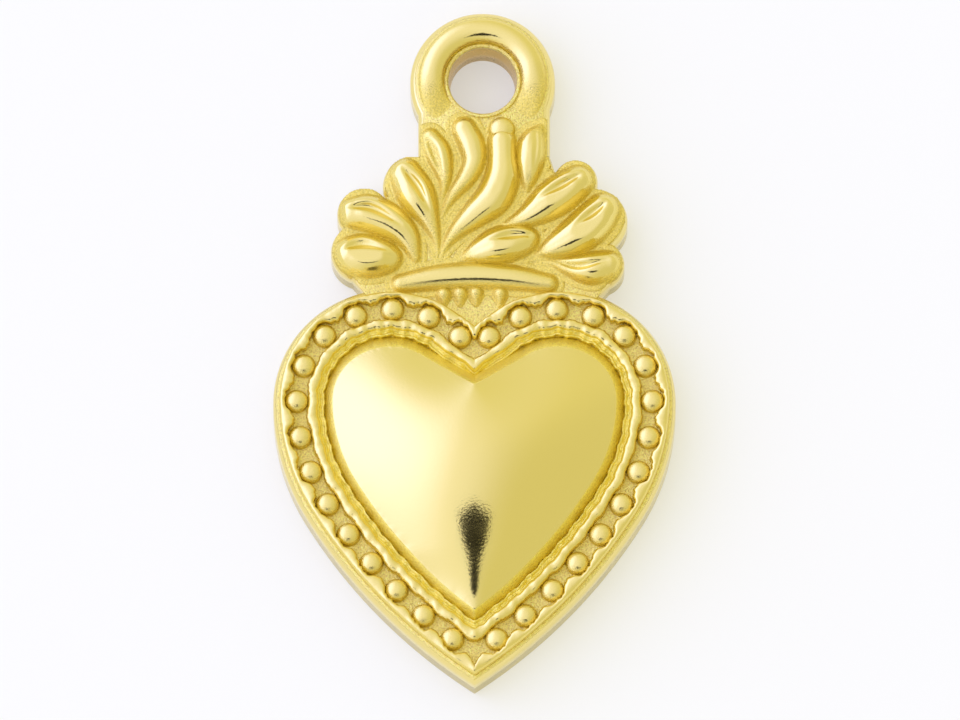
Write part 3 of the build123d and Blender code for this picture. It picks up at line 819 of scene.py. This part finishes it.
paper = {"half": 600.0, "under": 0.02, "tone": (0.96, 0.945, 0.70, 1), "lift": 0.42}
paperCorners = [(x * paper["half"] * mm, y * paper["half"] * mm, -paper["under"] * mm)
                for x, y in ((-1, -1), (1, -1), (1, 1), (-1, 1))]
floorMesh = bpy.data.meshes.new("floor")
floorMesh.from_pydata(paperCorners, [], [(0, 1, 2, 3)])
floorPiece = bpy.data.objects.new("Floor", floorMesh)
bpy.context.scene.collection.objects.link(floorPiece)
paperWhite = bpy.data.materials.new("paperWhite")  # matt card that keeps only the soft shadow
paperWhite.use_nodes = True
paperTree = paperWhite.node_tree
paperCard = paperTree.nodes["Principled BSDF"]
paperCard.inputs["Base Color"].default_value = paper["tone"]
paperCard.inputs["Roughness"].default_value = 1.0
paperCard.inputs["Specular IOR Level"].default_value = 0.0
paperRay = addNode(paperTree, "LightPath").outputs
paperSeen = addNode(paperTree, "Math", {0: paperRay["Is Camera Ray"], 1: paperRay["Is Glossy Ray"]},
                    operation="MAXIMUM").outputs[0]
paperLift = addNode(paperTree, "Math", {0: paperSeen, 1: paper["lift"]}, operation="MULTIPLY").outputs[0]
paperGlow = addNode(paperTree, "Emission", {"Color": (1, 1, 1, 1), "Strength": 1.0}).outputs[0]
paperMix = addNode(paperTree, "MixShader", {0: paperLift, 1: paperCard.outputs[0], 2: paperGlow}).outputs[0]
paperTree.links.new(paperMix, paperTree.nodes["Material Output"].inputs[0])
floorMesh.materials.append(paperWhite)

# Warm fill all round, a cool wash and key from the left, and a dark wedge towards the viewer's side
tent = {"fill": (0.89, 0.87, 0.70),
        "dim": {"aim": (0.72, -0.58, 0.38), "span": (0.1, 0.95), "by": 0.10},
        "wash": {"aim": (-0.80, 0.02, 0.60), "width": 100.0, "colour": (0.22, 0.25, 0.92)},
        "key": {"aim": (-0.93, 0.32, 0.26), "width": 65.0, "colour": (0.42, 0.52, 1.95)},
        "wedge": {"top": (0.42, 0.55), "taperFrom": 0.5, "taperPower": 2.0, "tip": 0.77, "half": 0.36,
                  "soft": 0.06, "level": 0.03}}
world = bpy.data.worlds.new("tent")
bpy.context.scene.world = world
world.use_nodes = True
sky = world.node_tree
sky.nodes.clear()
facing = addNode(sky, "TexCoord").outputs["Generated"]


def skyRange(value, start, end, atStart=0.0, atEnd=1.0):
    return addNode(sky, "MapRange", {"Value": value, "From Min": start, "From Max": end, "To Min": atStart,
                                     "To Max": atEnd}, interpolation_type="SMOOTHSTEP").outputs[0]


def aimed(aim):
    return addNode(sky, "VectorMath", {0: facing, 1: Vector(aim).normalized()},
                   operation="DOT_PRODUCT").outputs["Value"]


def lobeOver(below, lobe):
    share = skyRange(aimed(lobe["aim"]), math.cos(math.radians(lobe["width"])), 1.0)
    return addNode(sky, "VectorMath", {0: share, 1: lobe["colour"], 2: below},
                   operation="MULTIPLY_ADD").outputs[0]


def skyMath(kind, a, b=0.0):
    return addNode(sky, "Math", {0: a, 1: b}, operation=kind).outputs[0]


dimmed = skyRange(aimed(tent["dim"]["aim"]), *tent["dim"]["span"], 1.0, 1.0 - tent["dim"]["by"])
fill = addNode(sky, "VectorMath", {0: tent["fill"], "Scale": dimmed}, operation="SCALE").outputs[0]
lit = lobeOver(lobeOver(fill, tent["wash"]), tent["key"])
wedge = tent["wedge"]
viewSide = aimed((0, -1, 0))
reach = addNode(sky, "MapRange", {"Value": viewSide, "From Min": wedge["taperFrom"],
                                  "From Max": wedge["tip"]}).outputs[0]
taper = skyMath("SUBTRACT", 1.0, skyMath("POWER", reach, wedge["taperPower"]))
wedgeForm = skyMath("MULTIPLY", taper, skyRange(viewSide, *wedge["top"]))
wedgeHalf = skyMath("MULTIPLY", wedgeForm, wedge["half"])
within = skyMath("SUBTRACT", wedgeHalf, skyMath("ABSOLUTE", aimed((1, 0, 0))))
wedgeShare = skyRange(within, 0.0, wedge["soft"], 1.0, wedge["level"])
tented = addNode(sky, "VectorMath", {0: lit, "Scale": wedgeShare}, operation="SCALE").outputs[0]
ray = addNode(sky, "LightPath")
seen = addNode(sky, "Mix", {0: ray.outputs["Is Camera Ray"], 6: tented, 7: (1, 1, 1, 1)},
               data_type="RGBA").outputs[2]
glow = addNode(sky, "Background", {"Color": seen, "Strength": 1.0})
sky.links.new(glow.outputs[0], addNode(sky, "OutputWorld").inputs[0])

shot = {"elevation": 75.0, "target": (0.19, -0.50, 1.5), "lens": 1000.0, "sensor": 36.0, "across": 32.99}
cameraData = bpy.data.cameras.new("camera")
cameraData.lens = shot["lens"]
cameraData.sensor_width = shot["sensor"]
camera = bpy.data.objects.new("Camera", cameraData)
bpy.context.scene.collection.objects.link(camera)
tilt = math.radians(shot["elevation"])
back = Vector((0, -math.cos(tilt), math.sin(tilt)))
camera.location = (Vector(shot["target"]) + back * shot["lens"] * shot["across"] / shot["sensor"]) * mm
camera.rotation_euler = (math.pi / 2 - tilt, 0, 0)
cameraData.clip_start = 0.01
cameraData.clip_end = 10.0
bpy.context.scene.camera = camera
bpy.context.scene.view_settings.view_transform = "Standard"
print("stage ready")
